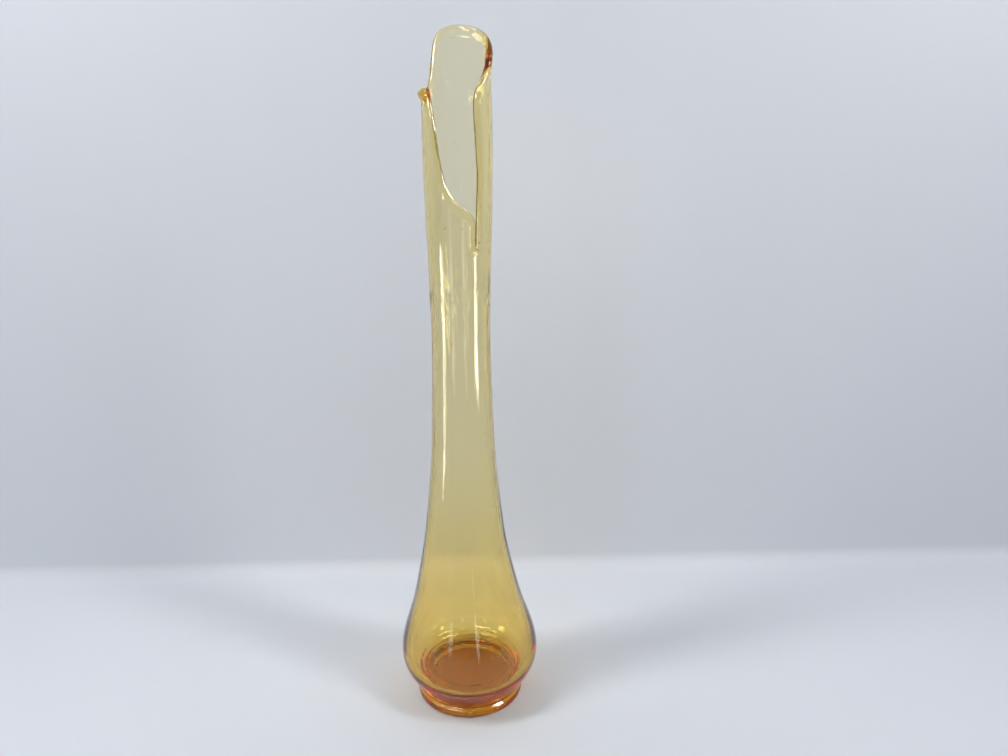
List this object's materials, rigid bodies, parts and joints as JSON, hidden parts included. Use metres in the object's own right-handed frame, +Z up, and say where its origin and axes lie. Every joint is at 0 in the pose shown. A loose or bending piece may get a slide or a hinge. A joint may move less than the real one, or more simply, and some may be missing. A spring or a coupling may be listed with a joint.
{
  "type": "swung vase",
  "caption": "Tall swung vase in clear amber glass: round pressed foot, teardrop bulb and long slender neck with an open, fire-polished lobed mouth.",
  "frame": {"origin": "the middle of the round foot, on the surface the vase stands on", "axes": "+Z up along the vase; the deep notch in the mouth faces -Y, a little towards +X; +X is to the right as one looks into the notch"},
  "size_m": [0.1286, 0.1286, 0.6],
  "materials": {
    "amber_glass": "clear honey-amber glass, fire-polished, smooth with faint upright swing lines and a few seed bubbles; deep amber where it is thick"
  },
  "bodies": {
    "root": {"vase_glass": "amber_glass"}
  },
  "joints": []
}
